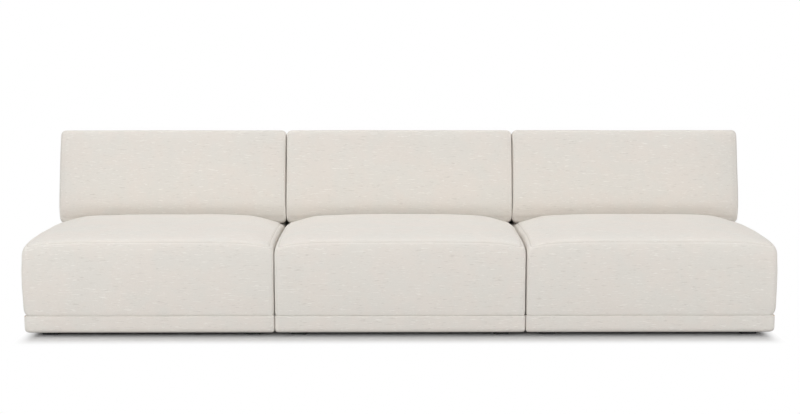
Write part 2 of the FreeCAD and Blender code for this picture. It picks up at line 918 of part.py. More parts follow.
def connectors():
    """The plates and screws that hold the modules side by side, as finished pieces in the sofa's frame."""
    inset = f"({PLINTH_HALF} - cloth_return / 2)"
    sockets = []
    socket_screws = []
    for word, way in SIDES:
        tongues = []
        tongue_screws = []
        for row, turn in ENDS:
            y = f"({turn} * connector_place)"
            sockets.append(socket_plate(f"socket_{row}_{word}", way, y))
            socket_screws += plate_screws(f"socket_{row}_{word}", f"{way} * {inset}", y)
            tongues.append(tongue_plate(f"tongue_{row}_{word}", way, y))
            x = f"{way} * (module_pitch - {inset})"
            tongue_screws += plate_screws(f"tongue_{row}_{word}", x, y)
        finish(f"{word}_connector_tongues", group(f"{word}_tongue_set", tongues))
        finish(f"{word}_connector_screws", group(f"{word}_tongue_screw_set", tongue_screws))
    finish("centre_connector_sockets", group("socket_set", sockets))
    finish("centre_connector_screws", group("socket_screw_set", socket_screws))


finished = []


def finish(label, shape, x="0"):
    """Place one sub-part of the sofa and give it its own name."""
    item = doc.addObject("Part::Compound", label)
    item.Label = label
    item.Links = [shape]
    place(item, x=x)
    finished.append(item)


def back_cushion_cover():
    """The loose cushion's cloth, closed all round."""
    return cut("cushion_skin", cushion_form("cushion_outside"), cushion_form("cushion_inside", "cloth"))


def back_cushion_core():
    """The loose cushion's filling."""
    return cushion_form("cushion_core", PADDING_DEPTH)


# where the loose cushion's rear lower edge stands, a little in front of the raked back
add_cell("cushion_foot_y", 0)
sheet.set(
    f"B{len(aliases)}",
    "=joint_plane + ease - cushion_ease / cos(back_lean * 1 deg)"
    " - (bend_height - shelf_height - ease) * tan(back_lean * 1 deg)",
)
doc.recompute()

MODULE_PIECES = {
    "plinth_frame": plinth_frame(),
    "plinth_cover": plinth_cover(),
    "feet": feet(),
    "foot_screws": foot_screws(),
    "dust_cover": dust_cover(),
    "seat_frame": seat_frame(),
    "seat_springs": seat_springs(),
    "spring_clips": spring_clips(),
    "seat_foam": seat_foam(),
    "rail_padding": rail_padding(),
    "seat_cover": seat_cover(),
    "back_frame": back_frame(),
    "back_webbing": back_webbing(),
    "back_padding": back_padding(),
    "back_cover": back_cover(),
    "back_screws": back_screws(),
    "back_cushion_core": back_cushion_core(),
    "back_cushion_cover": back_cushion_cover(),
}
for module, offset in (("left", "-module_pitch"), ("centre", "0"), ("right", "module_pitch")):
    for piece_name, pattern in MODULE_PIECES.items():
        finish(f"{module}_{piece_name}", pattern, offset)
connectors()
doc.recompute()

for item in doc.Objects:
    if "Invalid" in item.State or "Error" in item.State:
        raise ValueError(f"{item.Name} could not be made")
for item in finished:
    if item.Shape.isNull() or not item.Shape.isValid() or not item.Shape.Solids:
        raise ValueError(f"{item.Label} has no sound solid")

os.makedirs("parts", exist_ok=True)
for item in finished:
    item.Shape.exportStep(f"parts/{item.Label}.step")
    print(item.Label, len(item.Shape.Solids), "solids", round(item.Shape.Volume / 1e6, 3), "litres")
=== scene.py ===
# %% [markdown]
# An armless sofa of three equal modules, dressed for its portrait. The frame from the CAD model is
# loaded first. It holds every rigid and hidden piece at its real size, and each soft form that shows
# is modelled here over it, in metres, in the same place.

# %% Load the frame
import math
import bmesh
import bpy
from mathutils import Matrix, Vector, noise


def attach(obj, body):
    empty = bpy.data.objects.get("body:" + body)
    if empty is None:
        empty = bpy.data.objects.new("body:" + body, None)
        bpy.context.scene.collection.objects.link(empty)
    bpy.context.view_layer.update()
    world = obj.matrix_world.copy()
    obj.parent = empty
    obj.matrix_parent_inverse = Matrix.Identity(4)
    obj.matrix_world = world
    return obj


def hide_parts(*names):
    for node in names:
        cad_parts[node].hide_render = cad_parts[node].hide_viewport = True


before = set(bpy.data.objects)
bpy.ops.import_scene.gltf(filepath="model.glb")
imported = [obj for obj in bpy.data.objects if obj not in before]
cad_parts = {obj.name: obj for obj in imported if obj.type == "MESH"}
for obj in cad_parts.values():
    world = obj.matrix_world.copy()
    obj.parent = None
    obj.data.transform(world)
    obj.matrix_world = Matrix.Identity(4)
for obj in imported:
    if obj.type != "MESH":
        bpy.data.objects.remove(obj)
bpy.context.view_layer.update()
MM = 0.001
MODULES = ("left", "centre", "right")
MODULE_PITCH = 0.97

# %% [markdown]
# The photograph was taken from the front, at about the height of a chair back, with a long lens.
# A fit to the seams and gaps of the three modules gives the place, the tilt and the lens below.

# %% Camera
CAMERA_PLACE = (-0.034, -5.84, 1.173)
CAMERA_TILT = 7.08
CAMERA_TURN = 0.357
LENS = 63.45

camera_data = bpy.data.cameras.new("portrait_camera")
camera_data.lens = LENS
camera_data.sensor_width = 36
camera = bpy.data.objects.new("portrait_camera", camera_data)
camera.location = CAMERA_PLACE
camera.rotation_euler = (math.radians(90 - CAMERA_TILT), 0, -math.radians(CAMERA_TURN))
bpy.context.scene.collection.objects.link(camera)
bpy.context.scene.camera = camera
bpy.context.scene.view_settings.view_transform = "Standard"
print("lens:", LENS, "mm, tilt:", CAMERA_TILT, "degrees")

# %% [markdown]
# A material is a tree of nodes, and its maths reads best as plain expressions. One small class wraps a
# socket, so that `0.5 + 0.2 * weave` builds the Math nodes by itself.

# %% Shader expressions


class Value:
    """A number that varies over a surface, made by a socket."""

    def __init__(self, shop, socket):
        self.shop = shop
        self.socket = socket

    def _math(self, operation, *others):
        return self.shop.node("ShaderNodeMath", {"operation": operation}, self, *others)

    def __add__(self, other):
        return self._math("ADD", other)

    def __sub__(self, other):
        return self._math("SUBTRACT", other)

    def __mul__(self, other):
        return self._math("MULTIPLY", other)

    def __rsub__(self, other):
        return self._math("MULTIPLY", -1) + other

    __radd__ = __add__
    __rmul__ = __mul__

    def size(self):
        """The value without its sign."""
        return self._math("ABSOLUTE")

    def larger(self, other):
        """The larger of two values."""
        return self._math("MAXIMUM", other)

    def step(self, low, high):
        """0 below low, 1 above high and a smooth ramp between."""
        settings = {"interpolation_type": "SMOOTHSTEP"}
        return self.shop.node("ShaderNodeMapRange", settings, self, low, high, 0, 1)


# %% [markdown]
# Every other node comes from one method, which takes the node's type, its settings and what goes into
# its sockets. The cloth, the floor and the sky are all built with it.

# %% A shop for node trees


class NodeShop:
    """A node tree under construction."""

    def __init__(self, tree):
        self.tree = tree
        self.tree.nodes.clear()

    def node(self, kind, settings, *inputs, output=0):
        """Make a node of a type, give it its settings, then its values and links in order."""
        made = self.tree.nodes.new(kind)
        for name, setting in settings.items():
            setattr(made, name, setting)
        live = [socket for socket in made.inputs if socket.enabled]
        for socket, item in zip(live, inputs):
            self.feed(socket, item)
        ready = [socket for socket in made.outputs if socket.enabled]
        if isinstance(output, str):
            ready = [socket for socket in ready if socket.name == output]
            output = 0
        return Value(self, ready[output])

    def feed(self, socket, item):
        """Link a value to a socket, or set the socket to a plain number, place or colour."""
        if isinstance(item, Value):
            self.tree.links.new(item.socket, socket)
        elif socket.type == "RGBA":
            socket.default_value = (*item, 1)
        elif item is not None:
            socket.default_value = item

    def finish(self, kind, shader):
        """End the tree in an output node that shows a shader."""
        self.feed(self.tree.nodes.new(kind).inputs[0], shader)


# %% [markdown]
# Each finish of the sofa is a Principled shader. Its plain numbers are set on its own sockets, and only
# colour, roughness and relief get a pattern, because those three survive the export as images.

# %% Principled materials
SHEEN_ROUGHNESS = 0.6


class MaterialShop(NodeShop):
    """One material with a principled shader at its end."""

    def __init__(self, name, colour, roughness, metallic=0.0, sheen=0.0):
        self.material = bpy.data.materials.new(name)
        self.material.use_nodes = True
        super().__init__(self.material.node_tree)
        self.shader = self.tree.nodes.new("ShaderNodeBsdfPrincipled")
        self.finish("ShaderNodeOutputMaterial", Value(self, self.shader.outputs[0]))
        self.put("Base Color", colour)
        self.put("Roughness", roughness)
        self.put("Metallic", metallic)
        self.put("Sheen Weight", sheen)
        self.put("Sheen Roughness", SHEEN_ROUGHNESS)
        self.place = self.node("ShaderNodeTexCoord", {}, output="Object")

    def put(self, name, item):
        """Feed one socket of the principled shader."""
        self.feed(self.shader.inputs[name], item)

    def stretched(self, scale, shift=0):
        """The place on the piece, stretched along its axes and moved by a shift."""
        return self.node("ShaderNodeMapping", {}, self.place, (shift,) * 3, None, scale)

    def speckle(self, scale, detail, roughness, place=None):
        """Soft noise between 0 and 1, at a number of spots per metre."""
        settings = {"noise_dimensions": "3D"}
        place = place or self.place
        return self.node("ShaderNodeTexNoise", settings, place, scale, detail, roughness)

    def mix(self, factor, first, second):
        """One colour turning into another as the factor goes from 0 to 1."""
        return self.node("ShaderNodeMix", {"data_type": "RGBA"}, factor, first, second)

    def bump(self, height, depth):
        """Relief of a height pattern, its depth in metres."""
        made = self.tree.nodes.new("ShaderNodeBump")
        made.inputs["Distance"].default_value = depth
        self.feed(made.inputs["Height"], height)
        self.put("Normal", Value(self, made.outputs[0]))


# %% [markdown]
# The sofa is wrapped in a heavy off-white cloth, woven from uneven yarn. Close up there are yarns both
# ways, and from a few metres only the slubs show, the thick places in the yarn, as short level dashes.
# Noise stretched along one axis makes yarns that run that way, and it needs no unwrapping. On the
# sides of the sofa the level yarns run from front to back, so there the slubs are stretched along Y.
# The attribute "seam" is 1 where stitches pull the cloth in, and a painted shade darkens the groove
# there.

# %% Upholstery cloth
CLOTH_WARM = (0.770, 0.722, 0.668)
CLOTH_COOL = (0.752, 0.722, 0.672)
CLOTH_SLUB = (0.880, 0.850, 0.800)
# The dark yarn tone of the dark slubs, also used as the painted shade in the weave's hollows and seams.
CLOTH_DARK_YARN_AND_SHADE = (0.560, 0.520, 0.470)
CLOTH_ROUGHNESS = 0.92
CLOTH_SHEEN = 0.12
CLOTH_RELIEF, SLUB_RELIEF, HOLLOW_RELIEF = 0.0012, 0.35, 0.2
YARN = 900
YARN_RUN = 90
SLUB = 250
SLUB_RUN = 30
TURNS_SIDEWAYS = (0.6, 0.8)
LIGHT_SLUBS, LIGHT_SHARE = (0.59, 0.73), 0.95
DARK_SLUBS, DARK_SHARE, DARK_SHIFT = (0.60, 0.75), 0.55, 7.3
BLOTCHES_PER_METRE, BLOTCHES = 9, (0.35, 0.65)
# Painted shade in the hollows of the weave.
WEAVE_SHADE_RAMP, WEAVE_SHADE_SHARE = (0.62, 0.40), 0.10
# Painted shade along the seams, where the attribute "seam" is 1.
SEAM_SHADE_RAMP, SEAM_SHADE_SHARE = (0.45, 0.95), 0.62


def yarn_axes(thin, run):
    """Noise scales that leave yarns along X, Y and Z."""
    return [tuple(run if axis == way else thin for axis in range(3)) for way in range(3)]


def upholstery():
    """The cloth of every padded piece."""
    shop = MaterialShop("upholstery_cloth", CLOTH_WARM, CLOTH_ROUGHNESS, sheen=CLOTH_SHEEN)
    normal = shop.node("ShaderNodeNewGeometry", {}, output="Normal")
    facing = shop.node("ShaderNodeSeparateXYZ", {}, normal, output="X")
    sideways = facing.size().step(*TURNS_SIDEWAYS)
    along_x, along_y, _ = yarn_axes(SLUB, SLUB_RUN)

    def level_slubs(shift):
        places = [shop.stretched(way, shift) for way in (along_x, along_y)]
        front, side = (shop.speckle(1, 2, 0.6, place) for place in places)
        return front * (1 - sideways) + side * sideways

    light = level_slubs(0).step(*LIGHT_SLUBS)
    dark = level_slubs(DARK_SHIFT).step(*DARK_SLUBS)
    blotch = shop.speckle(BLOTCHES_PER_METRE, 3, 0.6).step(*BLOTCHES)
    ground = shop.mix(blotch, CLOTH_WARM, CLOTH_COOL)
    ground = shop.mix(light * LIGHT_SHARE, ground, CLOTH_SLUB)
    ground = shop.mix(dark * DARK_SHARE, ground, CLOTH_DARK_YARN_AND_SHADE)
    yarns = [shop.speckle(1, 1, 0.5, shop.stretched(scale)) for scale in yarn_axes(YARN, YARN_RUN)]
    weave = (yarns[0] + yarns[1] + yarns[2]) * 0.33
    # Painted shade: the hollows between the yarns are darkened.
    ground = shop.mix(weave.step(*WEAVE_SHADE_RAMP) * WEAVE_SHADE_SHARE, ground, CLOTH_DARK_YARN_AND_SHADE)
    # Painted shade: the cloth colour is darkened along each seam's groove.
    painted_seam_shade = shop.node("ShaderNodeAttribute", {"attribute_name": "seam"}, output="Fac")
    ground = shop.mix(painted_seam_shade.step(*SEAM_SHADE_RAMP) * SEAM_SHADE_SHARE, ground, CLOTH_DARK_YARN_AND_SHADE)
    shop.put("Base Color", ground)
    shop.bump(weave + light * SLUB_RELIEF - dark * HOLLOW_RELIEF, CLOTH_RELIEF)
    return shop.material


cloth = upholstery()
print("cloth nodes:", len(cloth.node_tree.nodes))

# %% [markdown]
# Every padded piece starts as a cube whose faces are cut into grids. Its points sit closer together
# near the edges, where the cloth bends most and where the seams run. A cube keeps its six sides apart,
# so later steps can still ask which points belong to the top, the rear or a seam.

# %% A cube of cloth cells
CROWDING = 0.4
LENGTHWISE = 1.9
OUTERMOST = 0.99


def crowd(place):
    """Even places from -1 to 1, moved closer together towards both ends."""
    return place * (1 + CROWDING * (1 - place * place))


def lattice(across, deep, tall):
    """A cube from -1 to 1 whose faces are grids. Each point remembers where it was on the cube."""
    shape = bmesh.new()
    bmesh.ops.create_cube(shape, size=2)
    for axis, cells in enumerate((across, deep, tall)):
        along = [e for e in shape.edges if abs(e.verts[0].co[axis] - e.verts[1].co[axis]) > LENGTHWISE]
        bmesh.ops.subdivide_edges(shape, edges=along, cuts=cells - 1, use_grid_fill=True)
    home = shape.verts.layers.float_vector.new("home")
    shape.verts.layers.float.new("seam")
    for vertex in shape.verts:
        vertex[home] = vertex.co
    return shape


print("a point halfway out moves to", round(crowd(0.5), 2))

# %% [markdown]
# An upholsterer thinks of such a block in profiles: how far the cloth draws in at each height, and how
# the top falls away towards its edges. A few measured points and a smooth curve through them hold such
# a profile, and it is easy to change after a look at the render.

# %% Profiles


def curve(*points):
    """A smooth curve through (place, value) points, without overshoot and level beyond its ends."""
    places, values = zip(*points)
    steps = [(b[1] - a[1]) / (b[0] - a[0]) for a, b in zip(points, points[1:])]
    inner = [2 * a * b / (a + b) if a * b > 0 else 0 for a, b in zip(steps, steps[1:])]
    slopes = (steps[0], *inner, steps[-1])

    def at(place):
        place = min(max(place, places[0]), places[-1])
        cell = max(n for n in range(len(places) - 1) if n == 0 or places[n] <= place)
        width = places[cell + 1] - places[cell]
        t = (place - places[cell]) / width
        start, end = values[cell : cell + 2]
        rise_in, rise_out = (slope * width for slope in slopes[cell : cell + 2])
        lift = t * t * (3 - 2 * t)
        return start + (end - start) * lift + t * (1 - t) * (rise_in * (1 - t) - rise_out * t)

    return at


def smooth(place, low, high):
    """0 below low, 1 above high and a smooth ramp between."""
    t = min(max((place - low) / (high - low), 0), 1)
    return t * t * (3 - 2 * t)


def together(power, *falls):
    """Falls from several edges as one. A low power rounds off the corners more."""
    return sum(fall**power for fall in falls) ** (1 / power)


def round_corner(x, y, half_x, half_y, radius):
    """Bend a point of a sheet with square corners to the same sheet with round ones."""
    u = abs(x) - half_x + radius
    v = abs(y) - half_y + radius
    if min(u, v) <= 0:
        return x, y
    turn = math.pi / 4 * min(u, v) / max(u, v)
    near, far = max(u, v) * math.cos(turn), max(u, v) * math.sin(turn)
    if u < v:
        near, far = far, near
    return math.copysign(half_x - radius + near, x), math.copysign(half_y - radius + far, y)


print("a smooth ramp at a quarter of its way:", smooth(0.25, 0, 1))

# %% [markdown]
# A padded block stands on a flat base. Its outline at each level is a rectangle with round corners, and
# its top is a soft dome. The seam that joins the top panel to the boxing is the topmost outline. A side
# that ends the sofa is free to bulge. A side that meets the next module is pressed nearly flat, with
# tighter corners, so each block has two profiles and picks one by its place in the row.

# %% Padded blocks


class PaddedBlock:
    """Sizes in millimetres. Levels run from 0 at the base to 1 at the seam."""

    def __init__(self, half_width, low, high, base, top, side_in, low_in, high_in, corner, pressed):
        self.half_width, self.low, self.high = half_width, low, high
        self.base, self.top = base, top
        self.side_in, self.low_in, self.high_in = side_in, low_in, high_in
        self.corner = corner
        self.pressed_in, self.pressed_corner = pressed

    def outline(self, u, v, level):
        """The place in plan of a lattice point at one level."""
        free = u * self.free_side > 0
        draw_in = self.side_in if free else self.pressed_in
        corner = self.corner if free else self.pressed_corner
        half_x = self.half_width - draw_in(level)
        low = self.low + self.low_in(level)
        high = self.high - self.high_in(level)
        half_y = (high - low) / 2
        x, y = round_corner(crowd(u) * half_x, crowd(v) * half_y, half_x, half_y, corner)
        return x, y + (low + high) / 2

    def point(self, u, v, w):
        """The place of a lattice point on the block."""
        level = (crowd(w) + 1) / 2
        x, y = self.outline(u, v, level)
        seam_height = self.top(*self.outline(u, v, 1), u * self.free_side > 0)
        return Vector((x, y, self.base + level * (seam_height - self.base)))

    def build(self, cells, module):
        """The block as a bmesh in millimetres, and the points of its top seam."""
        self.free_side = MODULES.index(module) - 1
        shape = lattice(*cells)
        tops = [v for v in shape.verts if v.co.z > OUTERMOST]
        seam = [v for v in tops if max(abs(v.co.x), abs(v.co.y)) > OUTERMOST]
        for vertex in shape.verts:
            vertex.co = self.point(*vertex.co)
        bmesh.ops.recalc_face_normals(shape, faces=shape.faces)
        shape.normal_update()
        return shape, seam


# %% [markdown]
# Real padding is never quite even. Slow noise moves the surface by a millimetre or two, and each seam
# pulls the cloth in to a narrow groove, because the stitches hold it while the foam pushes out.

# %% Unevenness and seams
SLOW_WAVE = 0.0042
QUICK_WAVE = 0.013
SLOW_HEIGHT = 1.6
QUICK_HEIGHT = 0.45
SEAM_DEPTH = 3.0


def unevenness(shape, seed, share=1.0):
    """Move each point a little along its normal."""
    shape.normal_update()
    moves = {}
    for vertex in shape.verts:
        slow = noise.noise(vertex.co * SLOW_WAVE + Vector((seed, 0, 0)))
        quick = noise.noise(vertex.co * QUICK_WAVE + Vector((0, seed, 0)))
        moves[vertex] = vertex.normal * share * (SLOW_HEIGHT * slow + QUICK_HEIGHT * quick)
    for vertex, move in moves.items():
        vertex.co += move


def pull_in(shape, points, depth=SEAM_DEPTH):
    """Sink the points of a seam below the cloth on either side, and mark them for the painted seam
    shade.
    """
    shape.normal_update()
    seam_shade_layer = shape.verts.layers.float["seam"]
    for vertex, move in [(vertex, vertex.normal * depth) for vertex in points]:
        vertex.co -= move
        vertex[seam_shade_layer] = 1


# %% [markdown]
# Each finished shape becomes an object that stands at the origin, with its place in its mesh, so that
# the frame can carry it. It is foam under cloth, rides on its CAD body and replaces the nodes it
# dresses.

# %% Finish a padded piece
PRESSED_HALF = 484.8


def make_object(name, shape, material):
    """A smooth-shaded object from a bmesh in metres."""
    mesh = bpy.data.meshes.new(name)
    shape.to_mesh(mesh)
    shape.free()
    mesh.shade_smooth()
    mesh.materials.append(material)
    made = bpy.data.objects.new(name, mesh)
    bpy.context.scene.collection.objects.link(made)
    return made


def subdivide(made):
    """A Subdivision Surface modifier, the same in the view and the render."""
    finish = made.modifiers.new("smooth_cloth", "SUBSURF")
    finish.levels = finish.render_levels = 1


def padded_piece(name, shape, placing, body, replaced):
    module = name.split("_")[0]
    for vertex in shape.verts:
        if module != "left":
            vertex.co.x = max(vertex.co.x, -PRESSED_HALF)
        if module != "right":
            vertex.co.x = min(vertex.co.x, PRESSED_HALF)
    bmesh.ops.transform(shape, matrix=placing, verts=shape.verts)
    made = make_object(name, shape, cloth)
    subdivide(made)
    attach(made, body)
    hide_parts(*replaced)
    return made


def module_place(module):
    """From millimetres about a module's middle to metres in the room."""
    shift = (MODULES.index(module) - 1) * MODULE_PITCH
    return Matrix.Translation((shift, 0, 0)) @ Matrix.Diagonal((MM, MM, MM, 1))


# %% [markdown]
# The seat is a thick block with a crown. Its front edge is fairly crisp, with the top seam about a
# finger's width behind the front face. Its sides roll over softly, so the seam drops at the corners and
# a valley opens between two modules. The lower edge tucks in over the plinth. Where the back cushion
# stands, the foam is pressed down to a flat shelf. Cloth simulation could swell a plain box to such a
# form, but its outline would drift, and here the outline was measured, so curves make the form.

# %% Seats
SEAT_CELLS = (64, 56, 24)
SEAT_HALF = 484.5
SEAT_FRONT = -500
SEAT_BACK = 335.7
SEAT_LOW = 84.6
SEAT_CROWN = 405
SHELF = 351.5
SHELF_EDGE = (96, 128)
SEAT_CORNER = 25
SEAT_PRESSED_CORNER = 15
SEAT_CORNER_POWER = 1.3
SIDE_SAG, SAG_DEPTHS, SAG_INSETS = 6, (-60, 110), (50, 130)
RIM_RISE, RIM_DEPTHS, RIM_INSETS = 3.5, (-120, 80), (40, 150)
SEAT_SEAM_DEPTH = 4.2
SEAT_SEED_STEP = 3.7

side_fall = curve(
    (14, 34), (18, 31), (33, 25), (56, 19), (88, 13), (130, 8), (190, 4), (330, 0.5), (484, 0)
)
front_fall = curve((9, 35), (13, 31), (24, 25), (44, 19), (78, 13), (120, 8), (180, 4), (250, 0))


def seat_top(x, y, free):
    """The height of the seat's top panel."""
    inset = SEAT_HALF - abs(x)
    fall = together(SEAT_CORNER_POWER, side_fall(inset), front_fall(y - SEAT_FRONT))
    sag = SIDE_SAG * smooth(y, *SAG_DEPTHS) * (1 - smooth(inset, *SAG_INSETS))
    rim = RIM_RISE * smooth(y, *RIM_DEPTHS) * smooth(inset, *RIM_INSETS)
    height = SEAT_CROWN - fall - sag + rim
    pressed = smooth(y, *SHELF_EDGE)
    return height - pressed * max(0, height - SHELF)


seat_block = PaddedBlock(
    SEAT_HALF,
    SEAT_FRONT,
    SEAT_BACK,
    SEAT_LOW,
    seat_top,
    side_in=curve(
        (0, 11), (0.023, 5), (0.05, 1.5), (0.082, -1), (0.166, -2), (0.25, -2), (0.42, -3.5),
        (0.59, -3.5), (0.68, -2.5), (0.76, -1), (0.857, 0), (0.9, 1), (0.941, 4.5), (0.976, 9.5),
        (1, 18),
    ),
    low_in=curve(
        (0, 9.5), (0.0225, 7.4), (0.05, 6.4), (0.092, 5.5), (0.189, 4), (0.362, 2), (0.57, 0.4),
        (0.7, 0), (0.8, 0.3), (0.87, 1.2), (0.93, 3.6), (0.976, 7.5), (1, 12.5),
    ),
    high_in=curve((0, 2), (0.9, 0), (1, 3)),
    corner=SEAT_CORNER,
    pressed=(
        curve((0, 4), (0.02, 1.5), (0.06, 0.6), (0.88, 0.6), (0.941, 3.5), (0.976, 8.5), (1, 17)),
        SEAT_PRESSED_CORNER,
    ),
)

# %% [markdown]
# The three seats differ only in their free side and in their unevenness. The top seam is pulled in last,
# so that the unevenness doesn't blur its groove.

# %% Three seats
for number, module in enumerate(MODULES):
    shape, seam = seat_block.build(SEAT_CELLS, module)
    unevenness(shape, seed=SEAT_SEED_STEP * number)
    pull_in(shape, seam, SEAT_SEAM_DEPTH)
    seat = padded_piece(
        f"{module}_seat",
        shape,
        module_place(module),
        f"{module}_module",
        [f"{module}_{word}" for word in ("seat_cover", "seat_foam", "rail_padding")],
    )
print("seat faces:", len(seat.data.polygons))

# %% [markdown]
# The back cushion is loose. It is shaped lying on its rear face, with a crowned front and round
# corners, because a padded block stands on a base. Its foot is slanted, so that it comes out level when
# the cushion is leaned back onto the shelf, by the same angle as in the CAD model. Such a cover needs a
# zip somewhere, so a seam runs round the boxing, nearer to the rear.

# %% Back cushions
CUSHION_CELLS = (64, 32, 18)
CUSHION_HALF = 484.5
CUSHION_HEIGHT = 370.2
CUSHION_CROWN = 218
CUSHION_CORNER = 20
CUSHION_PRESSED_CORNER = 22
ZIP_SEAM, ZIP_SEAM_DEPTH = -1 / 3, 2.0
CUSHION_SEED, CUSHION_SEED_STEP, CUSHION_UNEVEN = 11.3, 5.1, 0.8
LEAN = math.radians(13)
FOOT_Y, FOOT_Z = 330.72, 352.3

cushion_side_fall = curve((10, 20), (30, 13), (75, 7), (140, 2), (210, 0))
cushion_pressed_fall = curve((5, 13), (14, 9), (40, 5), (100, 2), (200, 0))
cushion_low_fall = curve(
    (26, 56), (36, 45), (50, 35), (66, 24), (85, 14.5), (115, 7.5), (150, 3), (200, 0)
)
cushion_high_fall = curve((9, 20), (24, 13), (55, 7), (105, 2), (140, 0))


def cushion_front(x, y, free):
    """The thickness of the cushion, most in its middle."""
    side = cushion_side_fall if free else cushion_pressed_fall
    falls = (
        side(CUSHION_HALF - abs(x)),
        cushion_low_fall(y),
        cushion_high_fall(CUSHION_HEIGHT - y),
    )
    return CUSHION_CROWN - math.hypot(*falls)


cushion_block = PaddedBlock(
    CUSHION_HALF,
    0,
    CUSHION_HEIGHT,
    0,
    cushion_front,
    side_in=curve(
        (0, 28), (0.02, 10), (0.07, 0), (0.15, -4), (0.8, -4.5), (0.9, -3), (0.96, 1), (1, 8)
    ),
    low_in=curve((0, 24), (0.02, 10), (0.07, 3), (0.15, 0), (0.76, 0), (0.87, 3), (0.95, 12), (1, 26)),
    high_in=curve((0, 30), (0.02, 12), (0.07, 3), (0.15, 0), (0.87, 0), (0.95, 3), (1, 9)),
    corner=CUSHION_CORNER,
    pressed=(
        curve((0, 20), (0.02, 6), (0.07, 0.5), (0.15, 0), (0.9, 0), (0.96, 1.2), (1, 5)),
        CUSHION_PRESSED_CORNER,
    ),
)


def level_foot(vertex):
    """Slant the lower edge, so that it comes out level when the cushion leans."""
    vertex.co.y -= vertex.co.z * math.tan(LEAN) * (1 - vertex.co.y / CUSHION_HEIGHT)


raised = Matrix.Rotation(math.radians(90) - LEAN, 4, "X")
lean_back = Matrix.Translation((0, FOOT_Y, FOOT_Z)) @ raised

# %% [markdown]
# Each cushion rides on a body of its own, because it lifts off the seat, while seat and back ride on
# their module. Only the points of the boxing at the zip's level are pulled in.

# %% Three back cushions
for number, module in enumerate(MODULES):
    shape, _ = cushion_block.build(CUSHION_CELLS, module)
    for vertex in shape.verts:
        level_foot(vertex)
    unevenness(shape, seed=CUSHION_SEED + CUSHION_SEED_STEP * number, share=CUSHION_UNEVEN)
    home = shape.verts.layers.float_vector["home"]
    boxing = [v for v in shape.verts if max(abs(v[home].x), abs(v[home].y)) > OUTERMOST]
    pull_in(shape, [v for v in boxing if abs(v[home].z - ZIP_SEAM) < 0.01], ZIP_SEAM_DEPTH)
    cushion = padded_piece(
        f"{module}_cushion",
        shape,
        module_place(module) @ lean_back,
        f"{module}_back_cushion",
        [f"{module}_back_cushion_core", f"{module}_back_cushion_cover"],
    )
print("cushion faces:", len(cushion.data.polygons))

# %% [markdown]
# Behind the cushion stands the padded back, upright at the rear and raked in front. Its top edge is
# rounded, and a seam runs round the top and down each rear corner, where the outer panel is sewn on.

# %% Padded backs
BACK_CELLS = (40, 10, 32)
BACK_FRONT = 336.3
BACK_REAR = 500
BACK_LOW = 86.5
BACK_TOP = 655
BACK_TOP_FRONT = 400
BACK_CORNER, BACK_PRESSED_CORNER = 16, 10
REAR_SEAM = 0.9
BACK_SEED, BACK_SEED_STEP, BACK_UNEVEN = 23.9, 2.3, 0.6

back_fall = curve((3, 9), (9, 3), (18, 0))


def back_top(x, y, free):
    """The height of the back's narrow top."""
    insets = (SEAT_HALF - abs(x), BACK_REAR - y, y - BACK_TOP_FRONT)
    falls = [back_fall(inset) for inset in insets]
    return BACK_TOP - math.hypot(*falls)


back_block = PaddedBlock(
    SEAT_HALF,
    BACK_FRONT,
    BACK_REAR,
    BACK_LOW,
    back_top,
    side_in=curve((0, 10), (0.02, 4), (0.05, 1), (0.1, 0), (0.97, 0), (1, 3)),
    low_in=curve((0, 0), (0.5, 0), (0.985, 61.2), (1, 66.5)),
    high_in=curve((0, 10), (0.02, 4), (0.05, 1), (0.1, 0), (0.97, 0), (1, 3)),
    corner=BACK_CORNER,
    pressed=(
        curve((0, 8), (0.02, 3), (0.05, 0.5), (0.1, 0), (0.97, 0), (1, 3)),
        BACK_PRESSED_CORNER,
    ),
)

for number, module in enumerate(MODULES):
    shape, seam = back_block.build(BACK_CELLS, module)
    home = shape.verts.layers.float_vector["home"]
    rear = [v for v in shape.verts if v[home].y > OUTERMOST]
    rear_seams = [v for v in rear if abs(abs(v[home].x) - REAR_SEAM) < 0.01]
    unevenness(shape, seed=BACK_SEED + BACK_SEED_STEP * number, share=BACK_UNEVEN)
    pull_in(shape, set(seam) | set(rear_seams))
    back = padded_piece(
        f"{module}_back",
        shape,
        module_place(module),
        f"{module}_module",
        [f"{module}_back_cover", f"{module}_back_padding"],
    )
print("back faces:", len(back.data.polygons))

# %% [markdown]
# The plinth is a low box of boards with the same cloth stretched round it over a thin wadding. The band
# is a padded block without its top and bottom, because only a strip of cloth is there. Its rims are
# extruded inwards: above, a little over the boards, so that no wood shows under the seat, and below,
# round the soft lower edge. A Solidify modifier then gives the strip the thickness of the cloth.

# %% Plinth bands
PLINTH_CELLS = (24, 24, 12)
PLINTH_HALF = 482.5
PLINTH_DEPTH = 491
PLINTH_LOW = 18
PLINTH_TOP = 84.5
PLINTH_CORNER, PLINTH_PRESSED_CORNER = 12, 5
HEM_EDGE = 2.5
HEM_WIDTH = 27
TOP_RISE = 1.2
CLOTH_THICKNESS = 0.002

soft_edge = curve((0, 12), (0.038, 6.5), (0.105, 2.5), (0.2, 0.5), (0.3, 0), (0.95, 0), (1, 1))
plinth_block = PaddedBlock(
    PLINTH_HALF,
    -PLINTH_DEPTH,
    PLINTH_DEPTH,
    PLINTH_LOW,
    lambda x, y, free: PLINTH_TOP,
    side_in=soft_edge,
    low_in=soft_edge,
    high_in=soft_edge,
    corner=PLINTH_CORNER,
    pressed=(
        curve((0, 4), (0.038, 0.8), (0.105, -1.2), (0.2, -2), (1, -2.2)),
        PLINTH_PRESSED_CORNER,
    ),
)


